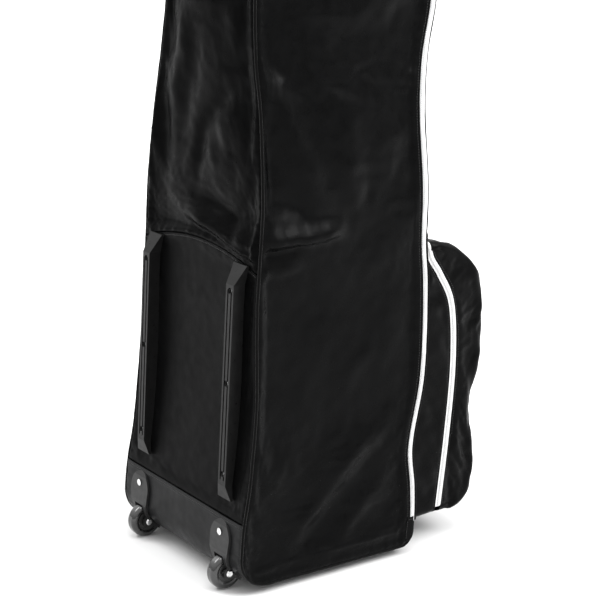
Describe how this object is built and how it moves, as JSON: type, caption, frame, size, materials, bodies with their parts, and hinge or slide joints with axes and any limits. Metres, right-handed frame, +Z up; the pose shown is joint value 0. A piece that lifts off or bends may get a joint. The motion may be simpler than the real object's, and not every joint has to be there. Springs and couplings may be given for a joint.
{
  "type": "wheeled golf bag travel cover",
  "caption": "Tall soft travel cover on two rear wheels, with rear skid rails, a folding front flap closed by a white zip and a zipped front pocket.",
  "frame": {"origin": "centre of the footprint at floor level, where the wheels and feet stand", "axes": "+Z up the bag, +Y to the wheeled rear, -Y to the front pocket, +X to the bag's left side"},
  "size_m": [0.351, 0.504, 1.3119],
  "materials": {
    "polyester": "woven black polyester with a soft sheen",
    "coated_cloth": "coated heavy cloth, satin",
    "seam_cord": "satin cord covering",
    "zip_tape": "white woven zip tape with white coil",
    "board": "stiff plastic sheet",
    "rail_plastic": "moulded, satin",
    "housing_plastic": "moulded, satin",
    "screw_steel": "plated steel",
    "rivet_steel": "polished steel",
    "tyre": "glossy black polyurethane",
    "hub_plastic": "moulded black",
    "bearing_steel": "steel",
    "foot_rubber": "moulded rubber",
    "webbing": "woven webbing",
    "grip": "soft moulded grip",
    "buckle_plastic": "acetal, satin",
    "zip_metal": "light grey painted metal"
  },
  "bodies": {
    "bag": {"side_panel_right": "polyester", "side_panel_left": "polyester", "rear_wear_panel": "polyester", "rear_upper_panel": "polyester", "rear_stiffener_board": "board", "hood_panel": "polyester", "rear_kick_panel": "coated_cloth", "base_panel": "polyester", "wheel_housing_right": "housing_plastic", "wheel_housing_left": "housing_plastic", "main_zip_bag_half_right": "zip_tape", "main_zip_bag_half_left": "zip_tape", "main_zip_bag_half_top": "zip_tape", "zip_end_tabs": "polyester", "piping_right": "seam_cord", "piping_left": "seam_cord", "skid_rail_right": "rail_plastic", "skid_rail_left": "rail_plastic", "rail_screws": "screw_steel", "housing_rivets": "rivet_steel", "axle_right": "rivet_steel", "axle_left": "rivet_steel", "foot_right": "foot_rubber", "foot_left": "foot_rubber", "base_stiffener_board": "board", "handle_patches": "webbing", "handle_webbing": "webbing", "handle_grip": "grip", "inner_strap_right": "webbing", "inner_strap_left": "webbing", "buckle_socket": "buckle_plastic", "buckle_plug": "buckle_plastic"},
    "front_lower": {"front_lower_panel": "polyester", "main_zip_lower_half_right": "zip_tape", "main_zip_lower_half_left": "zip_tape", "pocket_rear_gusset": "polyester", "pocket_zip_rear_half": "zip_tape"},
    "front_upper": {"front_upper_flap": "polyester", "main_zip_flap_half_right": "zip_tape", "main_zip_flap_half_left": "zip_tape", "main_zip_flap_half_top": "zip_tape"},
    "pocket_lid": {"pocket_lid": "polyester", "pocket_zip_lid_half": "zip_tape"},
    "wheel_right": {"tyre_right": "tyre", "wheel_hub_right": "hub_plastic", "wheel_bearings_right": "bearing_steel"},
    "wheel_left": {"tyre_left": "tyre", "wheel_hub_left": "hub_plastic", "wheel_bearings_left": "bearing_steel"},
    "main_slider_right": {"main_zip_slider_right": "zip_metal"},
    "main_tab_right": {"main_pull_tab_right": "zip_metal"},
    "main_slider_left": {"main_zip_slider_left": "zip_metal"},
    "main_tab_left": {"main_pull_tab_left": "zip_metal"},
    "pocket_slider_right": {"pocket_zip_slider_right": "zip_metal"},
    "pocket_tab_right": {"pocket_pull_tab_right": "zip_metal"},
    "pocket_slider_left": {"pocket_zip_slider_left": "zip_metal"},
    "pocket_tab_left": {"pocket_pull_tab_left": "zip_metal"}
  },
  "joints": [
    {"name": "wheel_right_spin", "type": "hinge", "parent": "bag", "child": "wheel_right", "pos_m": [-0.12, 0.224, 0.028], "axis": [1, 0, 0], "continuous": true},
    {"name": "wheel_left_spin", "type": "hinge", "parent": "bag", "child": "wheel_left", "pos_m": [0.12, 0.224, 0.028], "axis": [1, 0, 0], "continuous": true},
    {"name": "front_lower_fold", "type": "hinge", "parent": "bag", "child": "front_lower", "pos_m": [0, -0.1096, 0.05], "axis": [1, 0, 0], "range_deg": [0, 10]},
    {"name": "front_upper_fold", "type": "hinge", "parent": "front_lower", "child": "front_upper", "pos_m": [0, -0.1176, 0.52], "axis": [1, 0, 0], "range_deg": [0, 85]},
    {"name": "pocket_lid_open", "type": "hinge", "parent": "front_lower", "child": "pocket_lid", "pos_m": [0, -0.176, 0.0435], "axis": [1, 0, 0], "range_deg": [0, 28]},
    {"name": "main_slider_right_slide", "type": "slide", "parent": "front_upper", "child": "main_slider_right", "axis": [-1, 0, 0], "range_m": [0, 0.08]},
    {"name": "main_tab_right_lift", "type": "hinge", "parent": "main_slider_right", "child": "main_tab_right", "pos_m": [-0.01, -0.11122, 1.24409], "axis": [0, 0.9613, 0.2754], "range_deg": [0, 100]},
    {"name": "pocket_slider_right_slide", "type": "slide", "parent": "pocket_lid", "child": "pocket_slider_right", "axis": [-1, 0, 0], "range_m": [0, 0.095]},
    {"name": "pocket_tab_right_lift", "type": "hinge", "parent": "pocket_slider_right", "child": "pocket_tab_right", "pos_m": [-0.01, -0.129, 0.5119], "axis": [0, 1, 0], "range_deg": [0, 100]},
    {"name": "main_slider_left_slide", "type": "slide", "parent": "front_upper", "child": "main_slider_left", "axis": [1, 0, 0], "range_m": [0, 0.08]},
    {"name": "main_tab_left_lift", "type": "hinge", "parent": "main_slider_left", "child": "main_tab_left", "pos_m": [0.01, -0.11122, 1.24409], "axis": [0, -0.9613, -0.2754], "range_deg": [0, 100]},
    {"name": "pocket_slider_left_slide", "type": "slide", "parent": "pocket_lid", "child": "pocket_slider_left", "axis": [1, 0, 0], "range_m": [0, 0.095]},
    {"name": "pocket_tab_left_lift", "type": "hinge", "parent": "pocket_slider_left", "child": "pocket_tab_left", "pos_m": [0.01, -0.129, 0.5119], "axis": [0, -1, 0], "range_deg": [0, 100]}
  ]
}
